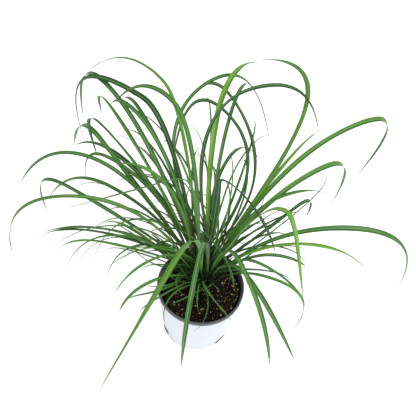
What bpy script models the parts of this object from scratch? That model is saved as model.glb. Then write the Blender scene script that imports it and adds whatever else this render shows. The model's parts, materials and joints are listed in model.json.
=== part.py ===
# A clump of ornamental grass growing in a thin nursery pot.
# Metres, +Z up. The origin is the middle of the pot's flat base, and the front faces -Y.
# The pot is turned, the soil and the crown of the plant are turned solids inside it, and every
# blade is a tapered, keeled strip swept along its own bending path from the crown.

import math

import bpy
from mathutils import Vector
from mathutils.bvhtree import BVHTree

MM = 0.001

# Pot, millimetres.
RIM_RADIUS = 65.0
BASE_RADIUS = 52.8
POT_HEIGHT = 111.5
WALL = 1.2
FLOOR = 2.0
LIP_HEIGHT = 7.0
LIP_STEP = 1.6
LIP_WIDTH = 3.6
EDGE = 0.4
ROUNDING = 1.0
INNER_ROUNDING = 1.5
FOOT_HEIGHT = 3.0
WAIST_STEP = 1.0
WAIST_DROP = 4.0
TURN_STEPS = 48
DRAIN_COUNT = 6
DRAIN_RADIUS = 4.5
DRAIN_CIRCLE = 36.0
DRAIN_SIDES = 12

# Soil and crown, millimetres. The clump stands behind the middle of the pot.
GAP = 0.4
SOIL_TOP = 102.5
SOIL_DROP = 2.2
SOIL_SHOULDER = 4.0
CROWN_X = 2.0
CROWN_Y = 28.0
CROWN_RADIUS = 28.0
CROWN_HEIGHT = 42.0
CROWN_STEPS = 20
CROWN_RINGS = 6

# Blades.
STATIONS = 16
STATION_EASE = 0.8
KEEL = 0.12
FOLD = 0.10
RIDGE = 0.02
ROOM = 0.08
ROOM_OVER = 0.12
ROOT_WIDTH = 0.6
FULL_AT = 0.3
TAPER_LATE = 3.4
TAPER_FALL = 0.8
TIP_WIDTH = 0.16
ROOT_SPREAD = 1.0
ROOT_INNER = 15.0
ROOT_OUTER = 84.0
SHORT_LEG = 40.0
FINE_STEPS = 24
ROOT_GAP = 1.6
FLOOR_CLEARANCE = 6.0
TURN_NUDGE = 1.0
LIFT_NUDGE = 1.0
ROOT_NUDGE = 9.0
NUDGE_RANGE = 4

GREENS = {
    "mid": (0.085, 0.225, 0.036, 1),
    "dark": (0.035, 0.120, 0.028, 1),
    "light": (0.190, 0.400, 0.048, 1),
}

# One row for each blade. First its tip: the heading from the middle of the crown in degrees, the
# reach in plan and the height. Then the top of its arch: how far out along that heading, the
# height, how far it bows to the left of the straight line, how steeply it rises to there, from 0.5
# for an even curve to 1 for straight up, and how far it swings out as it hangs. Then the width and
# the tone. Lengths are in millimetres. Each blade finds its room among those listed before it.
BLADES = {
    "back_left": [
        ((133, 325, 250), (165, 350, -30, 0.35, 0.52), 5.5, "mid"),
        ((141, 275, 150), (190, 298, -45, 0.3, 1.05), 8.5, "dark"),
        ((135, 345, 120), (241, 285, 5, 0.5, 0.6), 8.0, "mid"),
        ((135, 235, 268), (128, 350, -22, 0.5, 0.5), 7.0, "mid"),
        ((125, 290, 200), (230, 240, 0, 0.7, 0.5), 6.5, "dark"),
        ((140, 220, 280), (170, 325, 0, 0.6, 0.5), 6.5, "mid"),
        ((135, 275, 205), (212, 282, 20, 0.6, 0.65), 7.0, "mid"),
        ((145, 225, 180), (201, 280, 10, 0.7, 0.6), 6.5, "dark"),
        ((140, 315, 115), (235, 226, 15, 0.08, 0.35), 8.5, "mid"),
        ((145, 290, 150), (200, 200, -10, 0.6, 0.5), 8.5, "dark"),
        ((165, 310, 145), (205, 240, -30, 0.45, 0.5), 6.5, "mid"),
        ((112, 195, 140), (175, 265, -65, 0.8, 0.6), 6.0, "dark"),
        ((75, 250, 140), (200, 271, 110, 0.65, 0.7), 6.0, "mid"),
    ],
    "left": [
        ((150, 235, 140), (190, 215, -10, 0.6, 0.6), 5.5, "mid"),
        ((170, 140, 300), (120, 300, -10, 0.7, 0.5), 6.0, "mid"),
        ((155, 300, 60), (190, 155, -20, 0.6, 0.5), 6.0, "mid"),
        ((160, 283, 65), (230, 178, 10, 0.5, 0.6), 6.5, "mid"),
        ((186, 283, 125), (190, 258, -15, 0.6, 0.62), 6.5, "mid"),
        ((205, 190, 340), (65, 385, 25, 0.6, 0.5), 6.0, "mid"),
        ((182, 245, 160), (160, 190, 0, 0.6, 0.5), 5.5, "mid"),
        ((180, 250, 140), (165, 180, 5, 0.6, 0.5), 5.5, "dark"),
        ((160, 180, 100), (120, 145, 10, 0.5, 0.5), 5.5, "light"),
        ((177, 230, 85), (150, 150, 10, 0.5, 0.5), 5.0, "light"),
    ],
    "back_right": [
        ((82, 345, 222), (180, 291, 34, 0.5, 0.5), 9.0, "light"),
        ((83, 330, 180), (200, 260, 15, 0.6, 0.5), 6.0, "mid"),
        ((105, 262, 180), (205, 250, -70, 0.9, 0.9), 6.5, "mid"),
        ((40, 170, 320), (150, 348, 90, 0.9, 0.65), 7.0, "dark"),
        ((75, 280, 60), (130, 180, 30, 0.5, 0.5), 6.0, "mid"),
        ((50, 212, 268), (192, 276, -4, 0.4, 0.5), 5.5, "light"),
        ((83, 310, 260), (180, 329, -90, 0.5, 0.5), 7.5, "mid"),
        ((38, 270, 180), (243, 312, 5, 0.6, 0.72), 8.0, "mid"),
    ],
    "right": [
        ((42, 265, 80), (205, 207, 5, 0.6, 0.68), 9.0, "mid"),
        ((25, 180, 235), (120, 260, 0, 0.7, 0.5), 6.5, "mid"),
        ((45, 225, 60), (170, 142, -10, 0.5, 0.6), 6.0, "dark"),
        ((7, 310, 60), (212, 210, 15, 0.6, 0.6), 9.0, "dark"),
        ((5, 240, 140), (140, 195, 0, 0.6, 0.5), 6.5, "light"),
        ((308, 190, 320), (115, 375, 25, 0.5, 0.1), 7.0, "light"),
        ((5, 150, 140), (95, 164, 0, 0.5, 0.5), 5.5, "dark"),
        ((336, 100, 240), (0, 328, 9, 0.6, 0.5), 7.5, "dark"),
        ((340, 150, 160), (80, 190, 0, 0.6, 0.5), 5.5, "mid"),
        ((345, 155, 30), (115, 145, 5, 0.6, 0.5), 6.0, "mid"),
    ],
    "front": [
        ((253, 316, 340), (180, 400, 18, 0.5, 0.65), 8.0, "light"),
        ((267, 240, 280), (180, 400, -1, 0.5, 0.5), 6.5, "mid"),
        ((300, 200, 180), (84, 262, 0, 0.6, 0.6), 7.0, "mid"),
        ((307, 215, 200), (110, 243, -5, 0.6, 0.4), 7.0, "mid"),
        ((330, 56, 125), (-8, 205, -4, 0.5, 0.5), 6.0, "mid"),
        ((300, 100, 120), (50, 146, -22, 0.5, 0.3), 5.5, "mid"),
        ((213, 145, 140), (80, 195, 0, 0.6, 0.5), 4.5, "mid"),
        ((222, 150, 130), (110, 165, 0, 0.5, 0.5), 5.0, "mid"),
    ],
}

# Bundles of fine blades, each one solid that reaches its longest tip. Rows as above.
TUFTS = [
    ((135, 250, 222), (175, 258, -20, 0.6, 0.5), 6.0, "mid"),
    ((160, 240, 140), (165, 197, -10, 0.6, 0.5), 7.0, "mid"),
    ((98, 270, 200), (205, 240, -5, 0.5, 0.5), 7.0, "mid"),
    ((80, 255, 180), (185, 220, -15, 0.5, 0.5), 7.0, "mid"),
    ((35, 185, 140), (145, 160, 5, 0.5, 0.5), 7.0, "dark"),
    ((180, 155, 120), (120, 155, 10, 0.5, 0.5), 7.0, "mid"),
    ((230, 130, 130), (120, 150, 5, 0.5, 0.5), 6.0, "mid"),
    ((270, 90, 140), (70, 150, -5, 0.5, 0.5), 6.0, "mid"),
]


def clear_scene():
    for item in list(bpy.data.objects):
        bpy.data.objects.remove(item, do_unlink=True)


def collection(name):
    group = bpy.data.collections.new(name)
    bpy.context.scene.collection.children.link(group)
    return group


def material(name, colour, roughness):
    made = bpy.data.materials.new(name)
    made.use_nodes = True
    shader = made.node_tree.nodes["Principled BSDF"]
    shader.inputs["Base Color"].default_value = colour
    shader.inputs["Roughness"].default_value = roughness
    shader.inputs["Metallic"].default_value = 0.0
    return made


def turned(name, profile, steps, group, finish):
    """A profile of (radius, height) points in millimetres, swept once round the Z axis."""
    mesh = bpy.data.meshes.new(name)
    points = [(radius * MM, 0, height * MM) for radius, height in profile]
    edges = [(k, k + 1) for k in range(len(points) - 1)]
    mesh.from_pydata(points, edges, [])
    item = bpy.data.objects.new(name, mesh)
    group.objects.link(item)
    screw = item.modifiers.new("Turn", "SCREW")
    screw.steps = steps
    screw.render_steps = steps
    screw.use_merge_vertices = True
    screw.merge_threshold = 0.00005
    screw.use_smooth_shade = True
    mesh.materials.append(finish)
    return item


def build_pot(parts, cutters, finish):
    taper = (RIM_RADIUS - LIP_STEP - BASE_RADIUS) / POT_HEIGHT
    shoulder = POT_HEIGHT - LIP_HEIGHT
    inner_rim = RIM_RADIUS - LIP_WIDTH
    inner_foot = BASE_RADIUS + taper * FLOOR - WALL
    wall_top = BASE_RADIUS + taper * shoulder
    profile = [
        (0, FLOOR),
        (inner_foot - INNER_ROUNDING, FLOOR),
        (inner_foot, FLOOR + INNER_ROUNDING),
        (wall_top - WALL - WAIST_STEP, shoulder - WAIST_DROP),
        (inner_rim, POT_HEIGHT - 2 * ROUNDING),
        (inner_rim + ROUNDING, POT_HEIGHT - EDGE),
        (inner_rim + 2 * ROUNDING, POT_HEIGHT),
        (RIM_RADIUS - EDGE, POT_HEIGHT - EDGE),
        (RIM_RADIUS, POT_HEIGHT - EDGE - ROUNDING),
        (RIM_RADIUS - EDGE / 2, shoulder + EDGE),
        (RIM_RADIUS - 2 * EDGE, shoulder),
        (wall_top, shoulder - EDGE),
        (BASE_RADIUS + taper * FOOT_HEIGHT, FOOT_HEIGHT),
        (BASE_RADIUS - EDGE, 2 * EDGE),
        (BASE_RADIUS - EDGE - ROUNDING, 0),
        (0, 0),
    ]
    pot = turned("pot", profile, TURN_STEPS, parts, finish)
    for k in range(DRAIN_COUNT):
        angle = 2 * math.pi * (k + 0.5) / DRAIN_COUNT
        bpy.ops.mesh.primitive_cylinder_add(
            vertices=DRAIN_SIDES, radius=DRAIN_RADIUS * MM, depth=4 * FLOOR * MM,
            location=(DRAIN_CIRCLE * MM * math.cos(angle), DRAIN_CIRCLE * MM * math.sin(angle), 0))
        drill = bpy.context.object
        drill.name = "drain_cutter_%d" % (k + 1)
        drill.hide_render = True
        drill.display_type = "WIRE"
        for old in list(drill.users_collection):
            old.objects.unlink(drill)
        cutters.objects.link(drill)
        cut = pot.modifiers.new("Drain %d" % (k + 1), "BOOLEAN")
        cut.operation = "DIFFERENCE"
        cut.object = drill
    return inner_foot, wall_top, shoulder


def build_soil(parts, sizes, finish):
    inner_foot, wall_top, shoulder = sizes
    waist = wall_top - WALL - WAIST_STEP
    side = waist - 2 * GAP
    profile = [
        (0, SOIL_TOP),
        (waist - SOIL_SHOULDER, SOIL_TOP),
        (side, SOIL_TOP - SOIL_DROP),
        (side, shoulder - WAIST_DROP - ROUNDING),
        (inner_foot - GAP, FLOOR + GAP + INNER_ROUNDING),
        (inner_foot - GAP - INNER_ROUNDING, FLOOR + GAP),
        (0, FLOOR + GAP),
    ]
    return turned("soil", profile, TURN_STEPS, parts, finish)


def build_crown(parts, finish):
    base = SOIL_TOP + GAP
    profile = []
    for k in range(CROWN_RINGS + 1):
        angle = math.radians(90 - 90 * k / CROWN_RINGS)
        radius = CROWN_RADIUS * math.cos(angle)
        height = base + CROWN_HEIGHT * math.sin(angle)
        profile.append((radius, height))
    profile[0] = (0, base + CROWN_HEIGHT)
    profile.append((0, base))
    crown = turned("crown", profile, CROWN_STEPS, parts, finish)
    crown.location = (CROWN_X * MM, CROWN_Y * MM, 0)
    return crown


def section(name, outline, cutters):
    """A keeled cross-section one unit wide, as a closed flat curve that the blades are swept from."""
    curve = bpy.data.curves.new(name, "CURVE")
    curve.dimensions = "2D"
    line = curve.splines.new("POLY")
    line.points.add(len(outline) - 1)
    for point, (across, up) in zip(line.points, outline):
        point.co = (across * MM, up * MM, 0, 1)
    line.use_cyclic_u = True
    item = bpy.data.objects.new(name, curve)
    item.hide_render = True
    item.display_type = "WIRE"
    cutters.objects.link(item)
    return item


def quadratic(start, control, end, share):
    return start.lerp(control, share).lerp(control.lerp(end, share), share)


def spaced(points, count):
    """The same line with this many points, set closer together towards its tip."""
    lengths = [0.0]
    for near, far in zip(points, points[1:]):
        lengths.append(lengths[-1] + (far - near).length)
    chosen = []
    k = 0
    for n in range(count):
        goal = lengths[-1] * (n / (count - 1)) ** STATION_EASE
        while k < len(points) - 2 and lengths[k + 1] < goal:
            k += 1
        share = (goal - lengths[k]) / (lengths[k + 1] - lengths[k])
        chosen.append(points[k].lerp(points[k + 1], share))
    return chosen


def in_plan(heading, out, left, height):
    """A point at a distance out from the middle of the crown, and to the left of that heading."""
    angle = math.radians(heading)
    return Vector((
        CROWN_X + out * math.cos(angle) - left * math.sin(angle),
        CROWN_Y + out * math.sin(angle) + left * math.cos(angle),
        height))


def level_course(rising, hanging):
    """The level direction in which a blade passes its top, between those of its two legs."""
    course = Vector((0, 0))
    for leg in (rising, hanging):
        course += leg.normalized() * min(1, leg.length / SHORT_LEG)
    return course.normalized().to_3d()


def blade_path(row, turn, lift, shift):
    """Points of a blade that rises from the crown, goes over its arch and hangs to its tip."""
    (heading, reach, tip_height), (out, rise, bow, steepness, swing) = row[:2]
    rise += lift
    tip = in_plan(heading + turn, reach, 0, min(rise, tip_height + lift))
    top = in_plan(heading + turn, out, bow, rise)
    lean = math.degrees(math.atan2(math.hypot(out, bow), rise - SOIL_TOP))
    spread = math.radians(min(ROOT_OUTER, ROOT_INNER + ROOT_SPREAD * lean))
    around = heading + turn + shift + math.degrees(math.atan2(bow, out))
    root = in_plan(
        around, (CROWN_RADIUS + ROOT_GAP) * math.sin(spread), 0,
        SOIL_TOP + GAP + (CROWN_HEIGHT + ROOT_GAP) * math.cos(spread))
    along = level_course((top - root).xy, (tip - top).xy)
    before = top - along * steepness * (top - root).xy.length
    after = top + along * swing * (tip - top).length
    shares = [k / FINE_STEPS for k in range(FINE_STEPS + 1)]
    rising = [quadratic(root, before, top, share) for share in shares]
    hanging = [quadratic(top, after, tip, share) for share in shares[1:]]
    return spaced(rising + hanging, STATIONS)


def blade_width(share, width):
    swell = ROOT_WIDTH + (1 - ROOT_WIDTH) * math.sin(math.pi / 2 * min(1, share / FULL_AT))
    taper = max(TIP_WIDTH, (1 - share ** TAPER_LATE) ** TAPER_FALL)
    return width * swell * taper


def sweep(name, path, width, profile, group):
    curve = bpy.data.curves.new(name, "CURVE")
    curve.dimensions = "3D"
    curve.resolution_u = 1
    curve.render_resolution_u = 0
    curve.twist_mode = "MINIMUM"
    curve.bevel_mode = "OBJECT"
    curve.bevel_object = profile
    curve.use_fill_caps = True
    line = curve.splines.new("POLY")
    line.points.add(len(path) - 1)
    for k, (point, place) in enumerate(zip(line.points, path)):
        point.co = (place.x * MM, place.y * MM, place.z * MM, 1)
        point.radius = blade_width((k / (len(path) - 1)) ** STATION_EASE, width)
    item = bpy.data.objects.new(name, curve)
    group.objects.link(item)
    return item


def surface_tree(item):
    """The surface of an object as it is drawn, for testing what touches it."""
    bpy.context.view_layer.update()
    drawn = item.evaluated_get(bpy.context.evaluated_depsgraph_get())
    mesh = drawn.to_mesh()
    tree = BVHTree.FromPolygons(
        [item.matrix_world @ vertex.co for vertex in mesh.vertices],
        [tuple(face.vertices) for face in mesh.polygons])
    drawn.to_mesh_clear()
    return tree


def nudges():
    """Small turns, lifts and shifts of the root round the crown to try, nearest first."""
    span = range(-NUDGE_RANGE, NUDGE_RANGE + 1)
    tries = [(turn, lift, shift) for turn in span for lift in span for shift in span]
    tries.sort(key=lambda trio: (sum(abs(value) for value in trio), trio))
    return [
        (turn * TURN_NUDGE, lift * LIFT_NUDGE, shift * ROOT_NUDGE) for turn, lift, shift in tries]


def build_blade(name, row, standing, sections, groups, finishes):
    """One blade, nudged a little until it is clear of everything that already stands."""
    slim, roomy = sections
    parts, cutters = groups
    width, tone = row[2:]
    chosen = None
    for turn, lift, shift in nudges():
        path = blade_path(row, turn, lift, shift)
        if min(place.z for place in path) < FLOOR_CLEARANCE:
            continue
        trial = sweep("trial", path, width, roomy, cutters)
        tree = surface_tree(trial)
        shape = trial.data
        bpy.data.objects.remove(trial, do_unlink=True)
        bpy.data.curves.remove(shape)
        if not any(tree.overlap(other) for other in standing):
            chosen = path
            break
    if chosen is None:
        print("no clear place for", name)
        chosen = blade_path(row, 0, 0, 0)
    item = sweep(name, chosen, width, slim, parts)
    item.data.materials.append(finishes[tone])
    standing.append(surface_tree(item))
    return item


def main():
    clear_scene()
    parts = collection("potted_grass")
    cutters = collection("cutters")
    plastic = material("pot_plastic", (0.82, 0.84, 0.88, 1), 0.38)
    peat = material("potting_soil", (0.030, 0.020, 0.014, 1), 0.95)
    sheath = material("crown_sheath", (0.090, 0.105, 0.035, 1), 0.65)
    finishes = {tone: material("leaf_" + tone, colour, 0.45) for tone, colour in GREENS.items()}

    sizes = build_pot(parts, cutters, plastic)
    build_soil(parts, sizes, peat)
    build_crown(parts, sheath)
    edge = 0.5 + ROOM
    slim = section("blade_section", [
        (-0.5, FOLD), (0, RIDGE), (0.5, FOLD), (0, -KEEL)], cutters)
    roomy = section("blade_room", [
        (-edge, FOLD + ROOM_OVER), (0, RIDGE + ROOM_OVER), (edge, FOLD + ROOM_OVER),
        (edge, FOLD - ROOM_OVER), (0, -KEEL - ROOM_OVER), (-edge, FOLD - ROOM_OVER)], cutters)

    standing = [surface_tree(item) for item in list(parts.objects)]
    sections = (slim, roomy)
    groups = (parts, cutters)
    for side, rows in BLADES.items():
        for k, row in enumerate(rows):
            build_blade("leaf_%s_%02d" % (side, k + 1), row, standing, sections, groups, finishes)
    for k, row in enumerate(TUFTS):
        build_blade("tuft_%d" % (k + 1), row, standing, sections, groups, finishes)


main()
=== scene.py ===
# A clump of ornamental grass in a white nursery pot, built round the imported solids
import json
import math
import random

import bmesh
import bpy
from mathutils import Matrix, Vector, noise


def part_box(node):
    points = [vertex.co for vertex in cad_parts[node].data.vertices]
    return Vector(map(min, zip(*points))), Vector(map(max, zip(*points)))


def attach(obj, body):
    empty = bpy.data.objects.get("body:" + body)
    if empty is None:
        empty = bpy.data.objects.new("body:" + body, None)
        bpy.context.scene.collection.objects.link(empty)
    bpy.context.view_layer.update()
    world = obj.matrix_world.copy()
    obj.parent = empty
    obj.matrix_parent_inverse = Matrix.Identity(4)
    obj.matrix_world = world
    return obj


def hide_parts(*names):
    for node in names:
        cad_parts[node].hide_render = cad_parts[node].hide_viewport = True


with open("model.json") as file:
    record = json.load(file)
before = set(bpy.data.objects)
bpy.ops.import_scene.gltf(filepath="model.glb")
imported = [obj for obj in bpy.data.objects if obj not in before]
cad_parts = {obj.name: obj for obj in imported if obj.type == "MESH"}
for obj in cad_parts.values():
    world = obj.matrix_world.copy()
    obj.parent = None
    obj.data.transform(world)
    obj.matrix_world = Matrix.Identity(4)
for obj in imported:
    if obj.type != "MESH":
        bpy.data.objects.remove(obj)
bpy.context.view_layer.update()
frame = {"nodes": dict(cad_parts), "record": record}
nodes = frame["nodes"]
slotOf = {part["node"]: part["material_slot"] for part in frame["record"]["subparts"]}
mm = 0.001
joinWithin = 0.002 * mm  # points nearer than this are one point


class Wire:  # an output socket that can stand in a sum, so that shader maths reads as maths
    def __init__(self, bench, socket):
        self.bench = bench
        self.socket = socket

    def other(self, name):  # another output of the same node
        return Wire(self.bench, self.socket.node.outputs[name])

    def __add__(self, value):
        return self.bench.sum("ADD", self, value)

    def __radd__(self, value):
        return self.bench.sum("ADD", value, self)

    def __sub__(self, value):
        return self.bench.sum("SUBTRACT", self, value)

    def __rsub__(self, value):
        return self.bench.sum("SUBTRACT", value, self)

    def __mul__(self, value):
        return self.bench.sum("MULTIPLY", self, value)

    def __rmul__(self, value):
        return self.bench.sum("MULTIPLY", value, self)

    def __pow__(self, value):
        return self.bench.sum("POWER", self, value)

    def __abs__(self):
        return self.bench.sum("ABSOLUTE", self)


class Bench:  # adds nodes to one tree
    def __init__(self, tree):
        self.tree = tree

    def node(self, kind, settings=None, sockets=None, output=0):
        made = self.tree.nodes.new(kind)
        for name, value in (settings or {}).items():
            if name == "stops":
                stops = made.color_ramp.elements
                while len(stops) < len(value):
                    stops.new(1.0)
                for stop, (place, colour) in zip(stops, value):
                    stop.position = place
                    stop.color = (*colour, 1)
            else:
                setattr(made, name, value)
        for name, value in (sockets or {}).items():
            if isinstance(value, Wire):
                self.tree.links.new(value.socket, made.inputs[name])
            elif value is not None:
                made.inputs[name].default_value = value
        return Wire(self, made.outputs[output]) if made.outputs else made

    def sum(self, operation, first, second=None):
        return self.node("ShaderNodeMath", {"operation": operation}, {0: first, 1: second})

    def ease(self, value, low, high, atLow=0.0, atHigh=1.0):  # a smooth step between two values
        return self.node(
            "ShaderNodeMapRange", {"interpolation_type": "SMOOTHSTEP"},
            {0: value, 1: low, 2: high, 3: atLow, 4: atHigh})

    def mix(self, share, first, second, how="MIX"):  # two colours
        ends = [end if isinstance(end, Wire) else (*end, 1) for end in (first, second)]
        return self.node(
            "ShaderNodeMix", {"data_type": "RGBA", "blend_type": how}, {0: share, 6: ends[0], 7: ends[1]}, 2)

    def scaled(self, vector, value):
        return self.node(
            "ShaderNodeVectorMath", {"operation": "SCALE"}, {0: vector, "Scale": value})

    def joined(self, *vectors):  # vectors added up
        total = vectors[0]
        for vector in vectors[1:]:
            total = self.node("ShaderNodeVectorMath", {"operation": "ADD"}, {0: total, 1: vector})
        return total

    def grain(self, where, scale, detail=3.0, roughness=0.55):
        return self.node("ShaderNodeTexNoise", {}, {
            "Vector": where, "Scale": scale, "Detail": detail, "Roughness": roughness})

    def attribute(self, name):
        return self.node("ShaderNodeAttribute", {"attribute_name": name}, {}, "Fac")

    def body(self):  # the place on the piece itself
        return self.node("ShaderNodeTexCoord", {}, {}, "Object")


class Recipe(Bench):  # a geometry tree with named inputs
    def __init__(self, name):
        super().__init__(bpy.data.node_groups.new(name, "GeometryNodeTree"))
        self.keys = {}
        self.start = self.tree.nodes.new("NodeGroupInput")
        self.ask("Shape", "NodeSocketGeometry")

    def ask(self, name, kind, value=None):
        socket = self.tree.interface.new_socket(name, in_out="INPUT", socket_type=kind)
        if value is not None:
            socket.default_value = value
        self.keys[name] = socket.identifier
        return Wire(self, self.start.outputs[name])

    def shape(self):
        return Wire(self, self.start.outputs["Shape"])

    def keep(self, geometry, name, kind, value, domain="POINT"):  # stores a named attribute
        return self.node(
            "GeometryNodeStoreNamedAttribute", {"data_type": kind, "domain": domain},
            {"Geometry": geometry, "Name": name, "Value": value})

    def read(self, name, kind="FLOAT"):
        return self.node("GeometryNodeInputNamedAttribute", {"data_type": kind}, {"Name": name})

    def chance(self, low, high, seed):  # a random number for each point
        return self.node(
            "FunctionNodeRandomValue", {"data_type": "FLOAT"}, {2: low, 3: high, "Seed": seed}, 1)

    def end(self, geometry, finish):
        real = self.node("GeometryNodeRealizeInstances", {}, {"Geometry": geometry})
        painted = self.node("GeometryNodeSetMaterial", {}, {"Geometry": real, "Material": finish})
        self.tree.interface.new_socket("Shape", in_out="OUTPUT", socket_type="NodeSocketGeometry")
        close = self.tree.nodes.new("NodeGroupOutput")
        self.tree.links.new(painted.socket, close.inputs[0])


def newObject(name, mesh):
    item = bpy.data.objects.new(name, mesh)
    bpy.context.scene.collection.objects.link(item)
    return item


def grow(item, recipe, **values):  # runs a geometry tree on an object and keeps the plain mesh
    growth = item.modifiers.new("Growth", "NODES")
    growth.node_group = recipe.tree
    for name, value in values.items():
        growth[recipe.keys[name]] = value
    bpy.context.view_layer.update()
    graph = bpy.context.evaluated_depsgraph_get()
    mesh = bpy.data.meshes.new_from_object(item.evaluated_get(graph))
    item.modifiers.remove(growth)
    item.data = mesh
    mesh.shade_smooth()
    return item


def fit(item, slot, *replaced):  # hands a finished piece to the frame
    item.data.name = item.name
    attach(item, "root")
    if replaced:
        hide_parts(*replaced)


def merged(node):  # a copy of a solid's mesh with its loose triangles joined
    work = bmesh.new()
    work.from_mesh(node.data)
    bmesh.ops.remove_doubles(work, verts=work.verts, dist=joinWithin)
    return work


def newFinish(name):
    made = bpy.data.materials.new(name)
    made.use_nodes = True
    bench = Bench(made.node_tree)
    shader = made.node_tree.nodes["Principled BSDF"]
    return made, bench, shader


def plug(bench, wire, shader, name):
    bench.tree.links.new(wire.socket, shader.inputs[name])


def bumped(bench, shader, height, strength, distance):
    relief = bench.node(
        "ShaderNodeBump", {}, {"Height": height, "Strength": strength, "Distance": distance})
    plug(bench, relief, shader, "Normal")


leafLook = {
    # upper face, under face
    "leaf_mid": ((0.078, 0.235, 0.030), (0.100, 0.260, 0.048)),
    "leaf_dark": ((0.032, 0.125, 0.026), (0.045, 0.150, 0.038)),
    "leaf_light": ((0.135, 0.350, 0.032), (0.130, 0.330, 0.046)),
    "vein": (0.22, 0.42, 0.12),
    "base": (0.090, 0.140, 0.040),
    "stain": (0.060, 0.034, 0.024),
    "flush": (0.095, 0.062, 0.034),
    "tip": (0.30, 0.24, 0.16),
    "warm": (1.30, 1.10, 0.80),
    "cool": (0.72, 0.95, 1.15),
    # painted shade: the dark green painted over one half of each keeled blade
    "shade": (0.012, 0.055, 0.016),
    # how much of each of these shows, from 0 to 1
    "hueShare": 0.8, "paintedShadeShare": 0.34, "veinShare": 0.42, "flushShare": 0.40, "stainShare": 0.75,
    "footShare": 0.75, "tipShare": 0.55,
    # brightness: a level, and what the patches, the streaks and the blade's own tone add
    "bright": 0.50, "byPatch": 0.44, "byStreak": 0.52, "byTone": 0.26,
    "patchScale": 26.0, "stainScale": 75.0, "streakAcross": 14.0, "streakAlong": 5.0,
    "tipStart": 0.975, "ripeTip": 0.06,
    "roughness": 0.42, "streakRoughness": 0.16, "gloss": 0.42, "veinCount": 9.0,
}


def leafFinish(name, look):
    made, bench, shader = newFinish(name)
    upper, under = look[name]
    place = bench.node("ShaderNodeUVMap", {"uv_map": "UVMap"})
    split = bench.node("ShaderNodeSeparateXYZ", {}, {0: place})
    across = split.other("X")
    along = split.other("Y")
    tone = bench.attribute("tone")
    face = bench.attribute("face")
    ripe = bench.attribute("ripe")

    body = bench.body()
    patch = bench.grain(body, look["patchScale"], 2.0)
    streakPlace = bench.node("ShaderNodeCombineXYZ", {}, {
        "X": across * look["streakAcross"] + tone * 37.0, "Y": along * look["streakAlong"]})
    streak = bench.grain(streakPlace, 1.0, 3.0)

    colour = bench.mix(face, under, upper)
    bright = look["bright"] + patch * look["byPatch"] + streak * look["byStreak"] + tone * look["byTone"]
    grey = bench.node("ShaderNodeCombineColor", {}, {0: bright, 1: bright, 2: bright})
    colour = bench.mix(1.0, colour, grey, "MULTIPLY")
    # some blades are yellower and some bluer
    hue = bench.mix(tone * 0.5 + 0.5, look["cool"], look["warm"])
    colour = bench.mix(look["hueShare"], colour, hue, "MULTIPLY")
    # painted shade: one half of the keeled blade is painted darker than the other, as if the fold turns that
    # half away from the light
    half = bench.ease(across, 0.44, 0.56)
    colour = bench.mix(half * look["paintedShadeShare"], colour, look["shade"])
    rib = 1 - bench.ease(abs(across - 0.5), 0.02, 0.075)
    colour = bench.mix(rib * face * look["veinShare"], colour, look["vein"])
    # a brown flush on the lower part of some blades
    flush = (1 - bench.ease(along, 0.25, 0.50)) * bench.ease(patch - tone * 0.08, 0.52, 0.60)
    colour = bench.mix(flush * look["flushShare"], colour, look["flush"])
    # dull, partly brown sheath at the foot of each blade, and a dry tip
    foot = 1 - bench.ease(along + streak * 0.08, 0.05, 0.24)
    brown = bench.ease(bench.grain(body, look["stainScale"], 2.0), 0.50, 0.66)
    sheath = bench.mix(brown * look["stainShare"], look["base"], look["stain"])
    colour = bench.mix(foot * look["footShare"], colour, sheath)
    tipStart = look["tipStart"] - ripe * ripe * look["ripeTip"]
    dry = bench.ease(along + streak * 0.02, tipStart, tipStart + 0.03)
    colour = bench.mix(dry * look["tipShare"], colour, look["tip"])
    plug(bench, colour, shader, "Base Color")
    plug(bench, look["roughness"] + streak * look["streakRoughness"], shader, "Roughness")
    shader.inputs["Specular IOR Level"].default_value = look["gloss"]
    veins = bench.sum("SINE", across * (math.tau * look["veinCount"]))
    bumped(bench, shader, veins * 0.5 + streak * 0.4, 0.35, 0.12 * mm)
    return made


sheathLook = {
    "green": (0.040, 0.085, 0.020),
    "pale": (0.120, 0.150, 0.050),
    "brown": (0.050, 0.028, 0.015),
    "purple": (0.045, 0.020, 0.020),
    "dark": (0.014, 0.034, 0.010),
    "shadow": (0.01, 0.02, 0.006),
    "streakAcross": 10.0, "streakAlong": 3.0, "soilScale": 90.0, "soiledShare": 0.6, "shadowShare": 0.35,
    "ribs": 40.0, "roughness": 0.6,
}


def sheathFinish(look):
    made, bench, shader = newFinish("crown_sheath")
    place = bench.node("ShaderNodeUVMap", {"uv_map": "UVMap"})
    split = bench.node("ShaderNodeSeparateXYZ", {}, {0: place})
    across = split.other("X")
    along = split.other("Y")
    tone = bench.attribute("tone")
    body = bench.body()
    streakPlace = bench.node("ShaderNodeCombineXYZ", {}, {
        "X": across * look["streakAcross"] + tone * 53.0, "Y": along * look["streakAlong"]})
    streak = bench.grain(streakPlace, 1.0, 3.0)
    kind = bench.node("ShaderNodeValToRGB", {"stops": [
        (0.0, look["dark"]), (0.30, look["green"]), (0.62, look["green"]), (0.82, look["pale"]),
        (1.0, look["brown"])]}, {0: tone * 0.5 + 0.5 + (streak - 0.5) * 0.3})
    low = 1 - bench.ease(along + streak * 0.25, 0.20, 0.60)
    spots = bench.ease(bench.grain(body, look["soilScale"], 2.0), 0.45, 0.6)
    soiled = bench.mix(spots, look["brown"], look["purple"])
    colour = bench.mix(low * look["soiledShare"], kind, soiled)
    colour = bench.mix(streak * look["shadowShare"], colour, look["shadow"])
    plug(bench, colour, shader, "Base Color")
    shader.inputs["Roughness"].default_value = look["roughness"]
    bumped(bench, shader, bench.sum("SINE", across * look["ribs"]) + streak, 0.4, 0.15 * mm)
    return made


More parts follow.
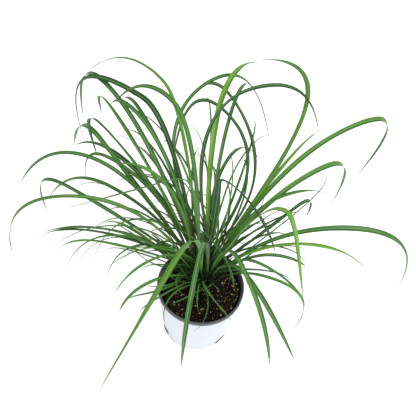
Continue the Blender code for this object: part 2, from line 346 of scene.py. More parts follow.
potLook = {
    "outside": (0.72, 0.75, 0.82),
    "inside": (0.150, 0.140, 0.150),
    "lip": (0.072, 0.064, 0.078),
    "lipEdge": (0.140, 0.130, 0.150),
    "soil": (0.055, 0.034, 0.018),
    "stain": (0.42, 0.30, 0.17),
    "cloudy": (0.60, 0.64, 0.74), "cloudyShare": 0.22, "stainShare": 0.8, "crumbShare": 0.8,
    "roughness": 0.36, "dirtRoughness": 0.5, "cloudRoughness": 0.1, "gloss": 0.45,
    # earth caught at the foot: where round the pot, how wide, how high, how tall, and how ragged
    "leftSmear": {"turn": -0.98, "wide": (0.06, 0.20), "height": 10 * mm,
                  "tall": (5 * mm, 10 * mm), "rag": 16 * mm},
    "rightSmear": {"turn": 0.92, "wide": (0.02, 0.42), "height": 8 * mm,
                   "tall": (1 * mm, 12 * mm), "rag": 20 * mm},
    "leftFoot": {"turn": -0.80, "wide": (0.25, 0.40), "tall": (2 * mm, 6 * mm), "rag": 14 * mm},
}


def smear(bench, turn, z, ragged, place):  # a ragged patch on the pot's side
    beside = 1 - bench.ease(abs(turn - place["turn"] + ragged * 0.5), *place["wide"])
    away = abs(z - place["height"] + ragged * place["rag"])
    return beside * (1 - bench.ease(away, *place["tall"]))


def potFinish(look):
    made, bench, shader = newFinish("pot_plastic")
    body = bench.body()
    split = bench.node("ShaderNodeSeparateXYZ", {}, {0: body})
    x, y, z = split.other("X"), split.other("Y"), split.other("Z")
    layer = bench.attribute("layer")
    cloud = bench.grain(body, 18.0, 3.0)
    fine = bench.grain(body, 160.0, 3.0)
    speck = bench.grain(body, 420.0, 2.0)

    # layer is 0 on the white outside, 1 on the lip and 2 on the inside
    white = bench.mix(cloud * look["cloudyShare"], look["outside"], look["cloudy"])
    lip = bench.mix(cloud, look["lip"], look["lipEdge"])
    colour = bench.mix(bench.ease(layer, 0.35, 0.65), white, lip)
    colour = bench.mix(bench.ease(layer, 1.35, 1.65), colour, look["inside"])

    # two smears to the left and right of the front, and a thin tan line along the foot
    turn = bench.sum("ARCTAN2", x, 0 - y)
    foot = 1 - bench.ease(z + (fine - 0.5) * 10 * mm, 3 * mm, 7 * mm)
    front = 1 - bench.ease(abs(turn - 0.1), 1.25, 1.5)
    tanLine = foot * front * bench.ease(fine, 0.40, 0.52)
    colour = bench.mix(tanLine * look["stainShare"], colour, look["stain"])
    ragged = (fine - 0.5) * 0.5
    left = smear(bench, turn, z, ragged, look["leftSmear"])
    right = smear(bench, turn, z, ragged, look["rightSmear"])
    low = look["leftFoot"]
    leftFoot = 1 - bench.ease(abs(turn - low["turn"]), *low["wide"])
    leftFoot = leftFoot * (1 - bench.ease(z + ragged * low["rag"], *low["tall"]))
    broken = bench.grain(body, 330.0, 4.0, 0.7) + 0.25
    smears = (left * 1.8 + leftFoot * 0.8) * bench.ease(fine, 0.34, 0.48)
    smears = smears + bench.ease(right * broken, 0.30, 0.52)
    splash = bench.ease(speck, 0.70, 0.74) * (1 - bench.ease(z, 8 * mm, 30 * mm)) * 0.7
    dirt = bench.sum("MINIMUM", smears + splash, 1.0)
    colour = bench.mix(dirt, colour, look["soil"])
    # crumbs of peat stick to the inside of the lip
    crumbs = bench.ease(layer, 1.2, 1.6) * bench.ease(fine, 0.52, 0.60)
    colour = bench.mix(crumbs * look["crumbShare"], colour, look["soil"])
    plug(bench, colour, shader, "Base Color")
    rough = look["roughness"] + dirt * look["dirtRoughness"] + cloud * look["cloudRoughness"]
    plug(bench, rough, shader, "Roughness")
    shader.inputs["Specular IOR Level"].default_value = look["gloss"]
    bumped(bench, shader, cloud * 0.6 + fine * 0.15, 0.12, 0.6 * mm)
    return made


soilLook = {
    "deep": (0.004, 0.003, 0.002),
    "brown": (0.026, 0.014, 0.008),
    "rust": (0.090, 0.044, 0.019),
    "straw": (0.220, 0.130, 0.055),
    "byLump": 0.35, "byGrain": 0.25, "byPick": 0.50, "roughness": 0.75, "gloss": 0.15,
}


def soilFinish(look):
    made, bench, shader = newFinish("potting_soil")
    body = bench.body()
    pick = bench.attribute("pick")
    lump = bench.grain(body, 190.0, 4.0, 0.65)
    fine = bench.grain(body, 900.0, 3.0)
    shade = lump * look["byLump"] + fine * look["byGrain"] + pick * look["byPick"]
    colour = bench.node("ShaderNodeValToRGB", {"stops": [
        (0.30, look["deep"]), (0.58, look["brown"]), (0.78, look["rust"]), (0.95, look["straw"])]},
        {0: shade})
    plug(bench, colour, shader, "Base Color")
    plug(bench, look["roughness"] + fine * 0.25, shader, "Roughness")
    shader.inputs["Specular IOR Level"].default_value = look["gloss"]
    bumped(bench, shader, lump + fine * 0.4, 0.7, 0.8 * mm)
    return made


grainLook = {
    "cream": (0.62, 0.52, 0.24),
    "yellow": (0.50, 0.40, 0.08),
    "tan": (0.26, 0.17, 0.07),
    "chalk": (0.66, 0.58, 0.46),
    "dust": (0.10, 0.07, 0.03),
    "dustShare": 0.6, "roughness": 0.8,
}


def grainFinish(look):
    made, bench, shader = newFinish("pale_grain")
    body = bench.body()
    pick = bench.attribute("pick")
    fine = bench.grain(body, 700.0, 2.0)
    colour = bench.node("ShaderNodeValToRGB", {"stops": [
        (0.10, look["tan"]), (0.40, look["yellow"]), (0.72, look["cream"]), (1.0, look["chalk"])]},
        {0: pick})
    colour = bench.mix(bench.ease(fine, 0.45, 0.7) * look["dustShare"], colour, look["dust"])
    plug(bench, colour, shader, "Base Color")
    shader.inputs["Roughness"].default_value = look["roughness"]
    bumped(bench, shader, fine, 0.5, 0.3 * mm)
    return made


potMake = {
    "steps": 144, "holeSides": 32, "holes": 6, "holeRadius": 4.5 * mm, "drillDepth": 20 * mm,
    "holeShare": 0.70144,  # of the foot's radius
    "rimDepth": 0.9 * mm, "lipDepth": 3 * mm, "wallDepth": 1.9 * mm, "floorDepth": 1.5 * mm,
    "slack": 0.1 * mm, "crease": 50,
}


def meridian(node):  # the profile of a turned solid, from its foot up and over to the inside
    work = merged(node)
    widest = max(vert.co.xy.length for vert in work.verts)
    near = [vert for vert in work.verts
            if abs(vert.co.y) < 0.01 * mm and vert.co.x > widest * 0.72]
    line = [min(near, key=lambda vert: (round(vert.co.z, 6), -vert.co.x))]
    while True:
        nextOnes = [edge.other_vert(line[-1]) for edge in line[-1].link_edges]
        nextOnes = [vert for vert in nextOnes if vert in near and vert not in line]
        if not nextOnes:
            break
        line.append(max(nextOnes, key=lambda vert: vert.co.x))
    profile = [(vert.co.x, vert.co.z) for vert in line]
    work.free()
    return profile


def turnProfile(name, profile, steps):  # spins a closed-on-axis profile into a solid
    work = bmesh.new()
    verts = [work.verts.new((radius, 0, height)) for radius, height in profile]
    edges = [work.edges.new(pair) for pair in zip(verts, verts[1:])]
    bmesh.ops.spin(
        work, geom=verts + edges, cent=(0, 0, 0), axis=(0, 0, 1), angle=math.tau,
        steps=steps, use_merge=True)
    bmesh.ops.remove_doubles(work, verts=work.verts, dist=joinWithin)
    bmesh.ops.recalc_face_normals(work, faces=work.faces)
    mesh = bpy.data.meshes.new(name)
    work.to_mesh(mesh)
    work.free()
    return newObject(name, mesh)


def buildPot(make, look):
    node = nodes["pot"]
    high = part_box("pot")[1]
    walk = meridian(node)
    floorTop = walk[-1][1]
    profile = [(0, 0)] + walk + [(0, floorTop)]
    pot = turnProfile("nursery_pot", profile, make["steps"])

    for k in range(make["holes"]):
        angle = math.tau * (k + 0.5) / make["holes"]
        reach = make["holeShare"] * walk[0][0]
        bpy.ops.mesh.primitive_cylinder_add(
            vertices=make["holeSides"], radius=make["holeRadius"], depth=make["drillDepth"],
            location=(reach * math.cos(angle), reach * math.sin(angle), 0))
        drill = bpy.context.object
        cut = pot.modifiers.new("Drain", "BOOLEAN")
        cut.object = drill
        cut.operation = "DIFFERENCE"
        bpy.context.view_layer.update()
        graph = bpy.context.evaluated_depsgraph_get()
        mesh = bpy.data.meshes.new_from_object(pot.evaluated_get(graph))
        pot.modifiers.remove(cut)
        pot.data = mesh
        bpy.data.objects.remove(drill)

    # the layer attribute: outside 0, lip 1, inside 2
    mesh = pot.data
    lipFoot = min(height for radius, height in walk if radius > high.x - make["rimDepth"])
    innerFoot = min(radius for radius, height in walk if height > high.z - make["lipDepth"])
    layer = mesh.attributes.new("layer", "FLOAT", "POINT")
    for vert, entry in zip(mesh.vertices, layer.data):
        radius = vert.co.xy.length
        height = vert.co.z
        wall = walk[0][0] + (high.x - walk[0][0]) * height / high.z
        if height > lipFoot - make["slack"] and radius > innerFoot - make["slack"]:
            entry.value = 1
        elif radius < wall - make["wallDepth"] and height > make["floorDepth"]:
            entry.value = 2
    mesh.materials.clear()
    mesh.materials.append(potFinish(look))
    mesh.shade_smooth()
    mesh.set_sharp_from_angle(angle=math.radians(make["crease"]))
    fit(pot, "pot_plastic", "pot")
    print("pot turned and drilled:", len(mesh.polygons), "faces")
    return high


soilMake = {
    "steps": 150, "topRings": 46, "lumps": 1.5 * mm, "ripple": 0.7 * mm, "mound": 3.0 * mm,
    "dip": 1.5 * mm, "lumpScale": 130, "rippleScale": 420, "layer": 0.37,
    "moundReach": 26 * mm, "dipReach": 60 * mm,
    "topShare": 0.985, "footShare": 0.82, "shoulder": 4 * mm, "footHeight": 1 * mm, "footDraw": 2 * mm,
}


def soilHeight(x, y, top, make, crown):  # how far the surface stands at a place
    place = Vector((x, y, make["layer"]))
    away = (Vector((x, y)) - crown.xy).length
    height = make["lumps"] * noise.noise(place * make["lumpScale"])
    height += make["ripple"] * noise.noise(place * make["rippleScale"])
    height += make["mound"] * math.exp(-(away / make["moundReach"]) ** 2)
    height -= make["dip"] * min(1, Vector((x, y)).length / make["dipReach"]) ** 3
    return top + height


def ringOf(work, radius, heightAt, count):
    ring = []
    for n in range(count):
        angle = math.tau * n / count
        x, y = radius * math.cos(angle), radius * math.sin(angle)
        ring.append(work.verts.new((x, y, heightAt(x, y))))
    return ring


def buildSoil(make, look, crown):
    low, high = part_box("soil")
    wide = high.x
    foot = wide * make["footShare"]
    top = high.z
    count = make["steps"]
    work = bmesh.new()
    rings = []
    centre = work.verts.new((0, 0, soilHeight(0, 0, top, make, crown)))
    for k in range(1, make["topRings"] + 1):
        radius = wide * make["topShare"] * k / make["topRings"]
        rings.append(ringOf(work, radius, lambda x, y: soilHeight(x, y, top, make, crown), count))
    side = ((wide, top - make["shoulder"]), (foot, low.z + make["footHeight"]),
            (foot - make["footDraw"], low.z))
    for radius, height in side:
        rings.append(ringOf(work, radius, lambda x, y: height, count))
    base = work.verts.new((0, 0, low.z))
    for n in range(count):
        after = (n + 1) % count
        work.faces.new((centre, rings[0][n], rings[0][after]))
        work.faces.new((base, rings[-1][after], rings[-1][n]))
        for inner, outer in zip(rings, rings[1:]):
            work.faces.new((inner[n], outer[n], outer[after], inner[after]))
    mesh = bpy.data.meshes.new("peat")
    work.to_mesh(mesh)
    work.free()
    mesh.materials.append(look)
    mesh.shade_smooth()
    peat = newObject("peat", mesh)
    fit(peat, "potting_soil", "soil")
    print("soil laid:", len(mesh.polygons), "faces")
    return high


lumpMake = {"rarity": 2.2, "squash": 0.45, "smooth": 2, "pushScale": 620.0, "pushDetail": 2.0}


def scatterRecipe(make):  # small lumps strewn over a surface, few of them large
    recipe = Recipe("Strewn lumps")
    shape = recipe.shape()
    density = recipe.ask("Density", "NodeSocketFloat", 1000.0)
    small = recipe.ask("Smallest", "NodeSocketFloat", 0.5 * mm)
    large = recipe.ask("Largest", "NodeSocketFloat", 2 * mm)
    flat = recipe.ask("Flatness", "NodeSocketFloat", 0.6)
    rough = recipe.ask("Roughness", "NodeSocketFloat", 0.4)
    rise = recipe.ask("Rise", "NodeSocketFloat", 0.0)
    seed = recipe.ask("Seed", "NodeSocketInt", 1)
    finish = recipe.ask("Finish", "NodeSocketMaterial")
    points = recipe.node(
        "GeometryNodeDistributePointsOnFaces", {"distribute_method": "RANDOM"},
        {"Mesh": shape, "Density": density * recipe.read("often"), "Seed": seed})
    turn = recipe.node("FunctionNodeRandomValue", {"data_type": "FLOAT_VECTOR"}, {
        0: (0, 0, 0), 1: (math.tau, math.tau, math.tau), "Seed": seed + 1})
    grade = recipe.chance(0.0, 1.0, seed + 2)
    size = small + (large - small) * grade ** make["rarity"]
    squash = recipe.chance(0.0, 1.0, seed + 3)
    scale = recipe.node("ShaderNodeCombineXYZ", {}, {
        "X": size, "Y": size * (1 - squash * make["squash"]), "Z": size * flat})
    points = recipe.keep(points, "pick", "FLOAT", recipe.chance(0.0, 1.0, seed + 4))
    ball = recipe.node("GeometryNodeMeshIcoSphere", {}, {
        "Radius": 0.5, "Subdivisions": make["smooth"]})
    strewn = recipe.node("GeometryNodeInstanceOnPoints", {}, {
        "Points": points, "Instance": ball, "Rotation": turn, "Scale": scale})
    strewn = recipe.node("GeometryNodeRealizeInstances", {}, {"Geometry": strewn})
    where = recipe.node("GeometryNodeInputPosition")
    push = recipe.node("ShaderNodeTexNoise", {}, {
        "Vector": where, "Scale": make["pushScale"], "Detail": make["pushDetail"]}, "Color")
    push = recipe.node("ShaderNodeVectorMath", {"operation": "SUBTRACT"}, {0: push, 1: (0.5, 0.5, 0.5)})
    push = recipe.scaled(push, rough * large)
    lift = recipe.node("ShaderNodeCombineXYZ", {}, {"Z": rise})
    strewn = recipe.node(
        "GeometryNodeSetPosition", {}, {"Geometry": strewn, "Offset": recipe.joined(push, lift)})
    recipe.end(strewn, finish)
    return recipe


chipMake = {"Density": 130000.0, "Smallest": 0.9 * mm, "Largest": 5.0 * mm, "Flatness": 0.5,
            "Roughness": 0.45, "Rise": 0.5 * mm, "Seed": 11}
grainMake = {"Density": 62000.0, "Smallest": 0.8 * mm, "Largest": 3.3 * mm, "Flatness": 0.7,
             "Roughness": 0.35, "Rise": 1.1 * mm, "Seed": 47}


groundMake = {"cells": 56, "reach": 0.90}
grainSpread = {"least": 0.30, "right": 1.3, "front": 0.3}


def strewGround(make, soil, crown, soilTop, rim):  # the soil's upper face, for what lies on it
    work = bmesh.new()
    side = make["cells"]
    reach = rim.x * make["reach"]
    grid = {}
    for i in range(side + 1):
        for j in range(side + 1):
            x = reach * (2 * i / side - 1)
            y = reach * (2 * j / side - 1)
            if math.hypot(x, y) <= reach:
                grid[i, j] = work.verts.new((x, y, soilHeight(x, y, soilTop, soil, crown)))
    for i, j in grid:
        corners = [(i, j), (i + 1, j), (i + 1, j + 1), (i, j + 1)]
        if all(corner in grid for corner in corners):
            work.faces.new([grid[corner] for corner in corners])
    mesh = bpy.data.meshes.new("ground")
    work.to_mesh(mesh)
    work.free()
    return mesh


def strew(name, ground, recipe, make, often, finish):
    mesh = ground.copy()
    weight = mesh.attributes.new("often", "FLOAT", "POINT")
    for vert, entry in zip(mesh.vertices, weight.data):
        entry.value = often(vert.co)
    item = grow(newObject(name, mesh), recipe, Finish=finish, **make)
    fit(item, "potting_soil")
    print(name, "strewn:", len(item.data.polygons), "faces")


bladeMake = {"Rings": 60, "Sides": 12, "Thickness": 0.28 * mm, "Fold": 0.34, "Twist": 0.16, "Waves": 3.0}
keelMake = {  # the section of a blade, and how it rolls up into a sheath at the foot
    "curl": 1.3, "rollFold": 0.45, "rollDepth": 0.5, "rollDraw": 0.25, "edgeThin": 0.75, "phase": 9.0,
}
stemMake = {
    "fullAt": 0.5, "narrow": 0.45, "outerFrom": 0.5, "outer": 1.8, "turnLeast": 0.25, "turnMost": 0.85,
    "root": 0.5, "rollLength": 6.0, "tipHalf": 0.12 * mm, "seed": 21,
}
footMake = {"sunk": 2 * mm, "knee": 0.55, "kneeDraw": 0.12, "narrow": (0.82, 0.9), "rolled": 2}
bladeTones = {  # how much brighter or darker a blade is than its kind
    "leaf_right_04": 2.2, "leaf_right_01": 0.6, "leaf_right_06": 0.5, "leaf_right_05": 0.9,
    "leaf_back_left_01": 0.9, "leaf_back_right_01": 0.5, "leaf_back_right_04": -0.7,
    "leaf_back_right_06": 0.8, "leaf_front_01": 0.1, "leaf_front_02": -0.9, "leaf_front_03": 0.1,
    "leaf_front_04": -0.7, "leaf_left_09": 0.7, "leaf_left_10": 0.6,
}
fineMake = {"Rings": 30, "Sides": 6, "Thickness": 0.22 * mm, "Fold": 0.40, "Twist": 0.12, "Waves": 2.0}


def bladeRecipe(make):  # sweeps keeled blades along lines that carry their own width and lie
    recipe = Recipe("Keeled blade")
    shape = recipe.shape()
    rings = recipe.ask("Rings", "NodeSocketInt", 60)
    sides = recipe.ask("Sides", "NodeSocketInt", 12)
    thick = recipe.ask("Thickness", "NodeSocketFloat", 0.3 * mm)
    fold = recipe.ask("Fold", "NodeSocketFloat", 0.3)
    twist = recipe.ask("Twist", "NodeSocketFloat", 0.15)
    waves = recipe.ask("Waves", "NodeSocketFloat", 3.0)
    finish = recipe.ask("Finish", "NodeSocketMaterial")

    line = recipe.node("GeometryNodeMeshToCurve", {}, {"Mesh": shape})
    line = recipe.node("GeometryNodeCurveSplineType", {"spline_type": "CATMULL_ROM"}, {"Curve": line})
    line = recipe.node("GeometryNodeResampleCurve", {"mode": "COUNT"}, {"Curve": line, "Count": rings})
    line = recipe.keep(line, "along", "FLOAT", recipe.node("GeometryNodeSplineParameter"))
    line = recipe.keep(line, "middle", "FLOAT_VECTOR", recipe.node("GeometryNodeInputPosition"))
    hoop = recipe.node("GeometryNodeCurvePrimitiveCircle", {"mode": "RADIUS"}, {
        "Resolution": sides, "Radius": 1.0})
    hoop = recipe.keep(hoop, "hoop", "FLOAT_VECTOR", recipe.node("GeometryNodeInputPosition"))
    skin = recipe.node("GeometryNodeCurveToMesh", {}, {
        "Curve": line, "Profile Curve": hoop, "Fill Caps": True})

    # each ring is laid out: a thin lens across, folded up at its edges
    place = recipe.node("ShaderNodeSeparateXYZ", {}, {0: recipe.read("hoop", "FLOAT_VECTOR")})
    x, y = place.other("X"), place.other("Y")
    along = recipe.read("along")
    half = recipe.read("half")
    roll = recipe.read("roll")
    tone = recipe.read("tone")
    edge = abs(x) ** make["curl"]
    lift = half * edge * (fold + roll * make["rollFold"])
    lens = thick * (1 - make["edgeThin"] * x * x) * (1 - roll) + roll * half * make["rollDepth"]
    wave = recipe.sum("SINE", along * waves * math.tau + tone * make["phase"])
    sway = wave * half * twist * x * (1 - roll)
    middle = recipe.read("middle", "FLOAT_VECTOR")
    side = recipe.scaled(recipe.read("side", "FLOAT_VECTOR"), x * half * (1 - roll * make["rollDraw"]))
    up = recipe.scaled(recipe.read("up", "FLOAT_VECTOR"), lift + lens * y + sway)
    skin = recipe.node("GeometryNodeSetPosition", {}, {
        "Geometry": skin, "Position": recipe.joined(middle, side, up)})
    flat = recipe.node("ShaderNodeCombineXYZ", {}, {"X": x * 0.5 + 0.5, "Y": along})
    skin = recipe.keep(skin, "UVMap", "FLOAT2", flat, "CORNER")
    skin = recipe.keep(skin, "face", "FLOAT", y * 2 + 0.5)
    recipe.end(skin, finish)
    return recipe


brimDrop = 0.08  # how far a blade's line lies under its edges, as a share of its width


def readBlade(node, crown):  # stations of a blade's solid, from the crown to the tip
    work = merged(node)
    foot = Vector((crown.x, crown.y, crown.z))
    rings = [sorted(work.verts, key=lambda vert: (vert.co - foot).length)[:4]]
    seen = set(rings[0])
    while True:
        ring = {edge.other_vert(vert) for vert in rings[-1] for edge in vert.link_edges} - seen
        if not ring:
            break
        rings.append(sorted(ring, key=lambda vert: tuple(vert.co)))
        seen |= ring
    stations = []
    last = None
    for ring in rings:
        points = [vert.co.copy() for vert in ring]
        pairs = [(a, b) for k, a in enumerate(points) for b in points[k + 1:]]
        left, right = max(pairs, key=lambda pair: (pair[0] - pair[1]).length)
        if last and (right - left).dot(last) < 0:
            left, right = right, left
        last = right - left
        brim = (left + right) / 2
        keel = max((point for point in points if point not in (left, right)),
                   key=lambda point: (point - brim).length)
        up = (brim - keel).normalized()
        stations.append({
            "middle": brim - up * (brimDrop * last.length), "side": last.normalized(), "up": up,
            "half": last.length / 2})
    work.free()
    if len(rings) < 10 or any(len(ring) != 4 for ring in rings):
        raise ValueError("the rings of %s can't be read" % node.name)
    return stations


def rooted(stations, crown, soilTop, start):  # carries a blade down through the crown into the soil
    first = stations[0]
    out = first["middle"].xy - crown.xy
    place = Vector((crown.x + out.x * start, crown.y + out.y * start, soilTop - footMake["sunk"]))
    knee = place.lerp(first["middle"], footMake["knee"])
    knee.xy += (first["middle"].xy - knee.xy) * footMake["kneeDraw"]
    below = []
    for point, narrow in zip((place, knee), footMake["narrow"]):
        below.append({"middle": point, "side": first["side"], "up": first["up"],
                      "half": first["half"] * narrow})
    return below + stations


def rollAlong(count, feet, length):  # 1 where the blade is a rolled sheath, falling to 0 where it is flat
    return [max(0.0, 1 - k / length) if k >= feet else 1.0 for k in range(count)]


def layLines(name, lines):  # one mesh of edge chains with what the recipe reads at each point
    mesh = bpy.data.meshes.new(name)
    points = []
    edges = []
    for line in lines:
        first = len(points)
        points += line
        edges += [(first + k, first + k + 1) for k in range(len(line) - 1)]
    mesh.from_pydata([point["middle"] for point in points], edges, [])
    for key in ("side", "up"):
        entries = mesh.attributes.new(key, "FLOAT_VECTOR", "POINT")
        entries.data.foreach_set("vector", [value for point in points for value in point[key]])
    for key in ("half", "roll", "tone", "ripe"):
        entries = mesh.attributes.new(key, "FLOAT", "POINT")
        entries.data.foreach_set("value", [point.get(key, 0.0) for point in points])
    return newObject(name, mesh)


def buildBlades(recipe, make, stem, finishes, crown, soilTop):
    dice = random.Random(stem["seed"])
    total = 0
    for name in sorted(nodes):
        if not name.startswith("leaf_"):
            continue
        stations = rooted(readBlade(nodes[name], crown), crown, soilTop, stem["root"])
        tone = dice.uniform(-1, 1)
        tone = bladeTones.get(name, tone)
        ripe = dice.random()
        turn = dice.choice((-1, 1)) * dice.uniform(stem["turnLeast"], stem["turnMost"])
        rolls = rollAlong(len(stations), footMake["rolled"], stem["rollLength"])
        for k, (station, roll) in enumerate(zip(stations, rolls)):
            share = k / len(stations)
            full = min(1.0, share / stem["fullAt"])
            station["half"] *= stem["narrow"] + (1 - stem["narrow"]) * math.sin(math.pi / 2 * full)
            beyond = max(0.0, share - stem["outerFrom"]) / (1 - stem["outerFrom"])
            station["half"] *= 1 + (stem["outer"] - 1) * beyond
            spin = Matrix.Rotation(turn * share ** 2, 3, station["side"].cross(station["up"]))
            station["side"] = spin @ station["side"]
            station["up"] = spin @ station["up"]
            station.update(roll=roll, tone=tone, ripe=ripe)
        stations[-1]["half"] = stem["tipHalf"]
        item = layLines(name.replace("leaf", "blade"), [stations])
        grow(item, recipe, Finish=finishes[slotOf[name]], **make)
        fit(item, slotOf[name], name)
        total += 1
    print("blades swept:", total)


tuftMake = {
    "count": 17, "frontCount": 7, "fan": 34.0, "shortest": 0.30, "longest": 0.92,
    "halfWidth": (0.9 * mm, 2.2 * mm), "scatter": 18 * mm, "sway": 0.30, "bow": 7 * mm, "seed": 5,
    "darkest": -1.3, "frontBrightest": 0.3, "brightest": 0.8, "lowest": 4 * mm, "tipHalf": 0.1 * mm,
    "narrow": 0.65, "fullAt": 0.25, "taper": 2.4, "root": 0.55, "rollLength": 5.0,
}


def turnedStation(station, turn, size, middle, shift):
    spin = Matrix.Rotation(turn, 3, "Z")
    place = station["middle"] - middle
    return {"middle": middle + shift + spin @ (place * size), "side": spin @ station["side"],
            "up": spin @ station["up"]}


def buildTufts(recipe, make, fine, finishes, crown, soilTop):
    dice = random.Random(make["seed"])
    middle = Vector((crown.x, crown.y, soilTop))
    for name in sorted(nodes):
        if not name.startswith("tuft_"):
            continue
        solid = readBlade(nodes[name], crown)
        lines = []
        front = solid[-1]["middle"].y < crown.y
        for k in range(make["frontCount"] if front else make["count"]):
            lead = k == 0  # the first blade runs to the solid's own tip
            turn = 0.0 if lead else math.radians(dice.gauss(0, make["fan"]))
            size = 1.0 if lead else dice.uniform(make["shortest"], make["longest"])
            bend = 0.0 if lead else dice.gauss(0, make["sway"])
            bow = 0.0 if lead else dice.gauss(0, make["bow"])
            shift = Vector((0, 0, 0))
            if not lead:
                shift = Vector((dice.gauss(0, 1), dice.gauss(0, 1), 0)) * make["scatter"] * 0.5
            half = dice.uniform(*make["halfWidth"])
            tone = dice.uniform(make["darkest"], make["frontBrightest" if front else "brightest"])
            line = []
            for n, station in enumerate(solid):
                share = n / (len(solid) - 1)
                point = turnedStation(station, turn + bend * share * share, size, middle, shift)
                point["middle"] += point["side"] * (bow * math.sin(math.pi * share))
                point["middle"].z = max(point["middle"].z, make["lowest"])
                swell = make["narrow"] + (1 - make["narrow"]) * min(1, share / make["fullAt"])
                point["half"] = max(make["tipHalf"], half * swell * (1 - share ** make["taper"]))
                line.append(point)
            line = rooted(line, crown, soilTop, make["root"])
            rolls = rollAlong(len(line), footMake["rolled"], make["rollLength"])
            for point, roll in zip(line, rolls):
                point.update(roll=roll, tone=tone, ripe=dice.random())
            lines.append(line)
        item = layLines(name.replace("tuft", "fine_blades"), lines)
        grow(item, recipe, Finish=finishes[slotOf[name]], **fine)
        fit(item, slotOf[name], name)
    print("fine blades swept")


shootMake = {"points": 7, "leanFirst": 0.55, "leanMore": 0.9, "leanLoose": 0.05, "taper": 2.2,
             "tipHalf": 0.1 * mm}
crownMake = {
    "spread": 25 * mm, "sunk": 1.5 * mm, "leanLeast": 0.08, "leanOut": 0.50, "leanLoose": 0.12,
    "outerShort": 0.25, "headingLoose": 0.5, "ripe": 0.5, "seed": 33,
}
sheathMake = {"count": 190, "half": (1.0 * mm, 2.3 * mm), "length": (0.7, 1.45), "tone": (-1, 1),
              "roll": (1, 0.25)}
youngMake = {"count": 90, "half": (0.6 * mm, 1.3 * mm), "length": (1.0, 2.2), "tone": (-1.4, 0.4),
             "roll": (0.4, 0.4)}


def leaning(dice, make, root, heading, lean, length, half):  # a shoot that leans out and bends over
    outward = Vector((math.cos(heading), math.sin(heading), 0))
    side = Vector((-outward.y, outward.x, 0))
    place = root.copy()
    line = []
    angle = lean * make["leanFirst"]
    count = make["points"]
    step = length / (count - 1)
    for k in range(count):
        share = k / (count - 1)
        forward = outward * math.sin(angle) + Vector((0, 0, math.cos(angle)))
        line.append({
            "middle": place.copy(), "side": side, "up": forward.cross(side) * -1,
            "half": max(make["tipHalf"], half * (1 - share ** make["taper"]))})
        place += forward * step
        angle += lean * make["leanMore"] / count + dice.gauss(0, make["leanLoose"])
    return line


def crownLines(dice, make, kind, crown, soilTop, tall):  # sheaths or shoots rising all over the crown
    lines = []
    for k in range(kind["count"]):
        heading = dice.uniform(0, math.tau)
        off = math.sqrt(dice.random())
        root = Vector((
            crown.x + make["spread"] * off * math.cos(heading),
            crown.y + make["spread"] * off * math.sin(heading), soilTop - make["sunk"]))
        lean = make["leanLeast"] + make["leanOut"] * off * off + dice.gauss(0, make["leanLoose"])
        length = tall * dice.uniform(*kind["length"]) * (1 - make["outerShort"] * off)
        heading += dice.gauss(0, make["headingLoose"])
        line = leaning(dice, shootMake, root, heading, lean, length, dice.uniform(*kind["half"]))
        tone = dice.uniform(*kind["tone"])
        rolled, flat = kind["roll"]
        for n, point in enumerate(line):
            point.update(roll=rolled - (rolled - flat) * n / len(line), tone=tone, ripe=make["ripe"])
        lines.append(line)
    return lines


def buildCrown(make, recipe, fine, sheathPaint, leafPaint, crown, soilTop):
    dice = random.Random(make["seed"])
    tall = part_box("crown")[1].z - soilTop
    sheaths = layLines("crown_sheaths", crownLines(dice, make, sheathMake, crown, soilTop, tall))
    fit(grow(sheaths, recipe, Finish=sheathPaint, **fine), "crown_sheath", "crown")
    shoots = layLines("young_shoots", crownLines(dice, make, youngMake, crown, soilTop, tall))
    fit(grow(shoots, recipe, Finish=leafPaint, **fine), "leaf_dark")
    print("crown filled")


seedMake = {
    "count": 7, "place": (40 * mm, 47 * mm), "spread": (5 * mm, 2.5 * mm), "length": (9 * mm, 18 * mm),
    "half": (0.8 * mm, 1.3 * mm), "lean": (0.9, 1.6), "sunk": 1 * mm, "roll": 0.3, "tone": 1.5, "seed": 9,
}


def buildSeedlings(make, recipe, fine, finish, soilTop):  # a few pale shoots beside the clump
    dice = random.Random(make["seed"])
    lines = []
    for k in range(make["count"]):
        root = Vector((
            make["place"][0] + dice.gauss(0, 1) * make["spread"][0],
            make["place"][1] + dice.gauss(0, 1) * make["spread"][1], soilTop - make["sunk"]))
        heading = dice.uniform(0, math.tau)
        line = leaning(dice, shootMake, root, heading, dice.uniform(*make["lean"]),
                       dice.uniform(*make["length"]), dice.uniform(*make["half"]))
        for point in line:
            point.update(roll=make["roll"], tone=make["tone"], ripe=0.0)
        lines.append(line)
    fit(grow(layLines("seedlings", lines), recipe, Finish=finish, **fine), "leaf_light")
    print("seedlings sown")


stageLook = {
    "floor": (0.93, 0.94, 0.95), "floorGlow": 0.55, "floorSize": 4, "floorRoughness": 0.9,
    "aim": (0, 0, 0.15), "sky": (1.0, 1.0, 1.0), "skyStrength": 0.50,
    "key": 20.0, "keyPlace": (0.75, -0.55, 1.9), "keySize": 0.8,
    "fill": 3.0, "fillPlace": (-1.2, -0.7, 1.3), "fillSize": 1.6,
}
cameraLook = {"lens": 64.4, "place": (-0.0049, -0.5598, 1.0732), "elevation": 53.9, "roll": 7.8,
              "sensor": 36, "nearest": 0.02}


def softLight(name, place, target, size, power):
    lamp = bpy.data.lights.new(name, "AREA")
    lamp.shape = "DISK"
    lamp.size = size
    lamp.energy = power
    item = newObject(name, lamp)
    item.location = place
    item.rotation_euler = (target - Vector(place)).to_track_quat("-Z", "Y").to_euler()


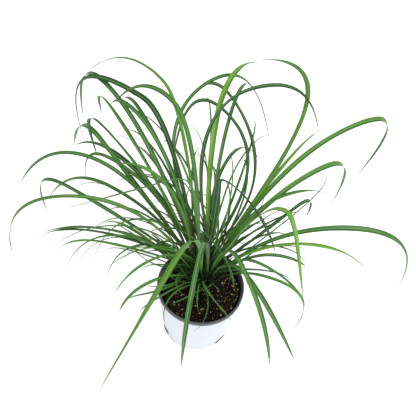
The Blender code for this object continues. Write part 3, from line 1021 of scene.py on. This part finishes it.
def buildStage(look, lens):
    scene = bpy.context.scene
    mesh = bpy.data.meshes.new("floor")
    floor = newObject("floor", mesh)
    work = bmesh.new()
    bmesh.ops.create_grid(work, x_segments=2, y_segments=2, size=look["floorSize"])
    work.to_mesh(mesh)
    work.free()
    made, bench, shader = newFinish("pale_floor")
    shader.inputs["Base Color"].default_value = (*look["floor"], 1)
    shader.inputs["Roughness"].default_value = look["floorRoughness"]
    shader.inputs["Emission Color"].default_value = (1, 1, 1, 1)
    shader.inputs["Emission Strength"].default_value = look["floorGlow"]
    mesh.materials.append(made)

    world = bpy.data.worlds.new("studio")
    world.use_nodes = True
    world.node_tree.nodes["Background"].inputs[0].default_value = (*look["sky"], 1)
    world.node_tree.nodes["Background"].inputs[1].default_value = look["skyStrength"]
    scene.world = world
    target = Vector(look["aim"])
    softLight("key", look["keyPlace"], target, look["keySize"], look["key"])
    softLight("fill", look["fillPlace"], target, look["fillSize"], look["fill"])

    view = bpy.data.cameras.new("view")
    view.lens = lens["lens"]
    view.sensor_width = lens["sensor"]
    view.clip_start = lens["nearest"]
    camera = newObject("view", view)
    tilt = Matrix.Rotation(math.radians(90 - lens["elevation"]), 4, "X")
    roll = Matrix.Rotation(math.radians(lens["roll"]), 4, "Z")
    camera.matrix_world = Matrix.Translation(lens["place"]) @ tilt @ roll
    scene.camera = camera
    scene.view_settings.view_transform = "Standard"
    print("stage set")


buildStage(stageLook, cameraLook)
crownLow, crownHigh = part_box("crown")
crownFoot = Vector(((crownLow.x + crownHigh.x) / 2, (crownLow.y + crownHigh.y) / 2, crownLow.z))
rimHigh = buildPot(potMake, potLook)
peatFinish = soilFinish(soilLook)
soilTop = buildSoil(soilMake, peatFinish, crownFoot).z
leafFinishes = {name: leafFinish(name, leafLook) for name in ("leaf_mid", "leaf_dark", "leaf_light")}

def grainsAt(place):  # pale grains lie mostly to the right and the front
    right = max(0, place.x / rimHigh.x)
    front = max(0, -place.y / rimHigh.x)
    return grainSpread["least"] + grainSpread["right"] * right ** 2 + grainSpread["front"] * front


lumps = scatterRecipe(lumpMake)
ground = strewGround(groundMake, soilMake, crownFoot, soilTop, rimHigh)
strew("peat_chips", ground, lumps, chipMake, lambda place: 1.0, peatFinish)
strew("pale_grains", ground, lumps, grainMake, grainsAt, grainFinish(grainLook))

keeled = bladeRecipe(keelMake)
buildBlades(keeled, bladeMake, stemMake, leafFinishes, crownFoot, soilTop)
buildTufts(keeled, tuftMake, fineMake, leafFinishes, crownFoot, soilTop)
buildCrown(crownMake, keeled, fineMake, sheathFinish(sheathLook), leafFinishes["leaf_dark"],
           crownFoot, soilTop)
buildSeedlings(seedMake, keeled, fineMake, leafFinishes["leaf_light"], soilTop)
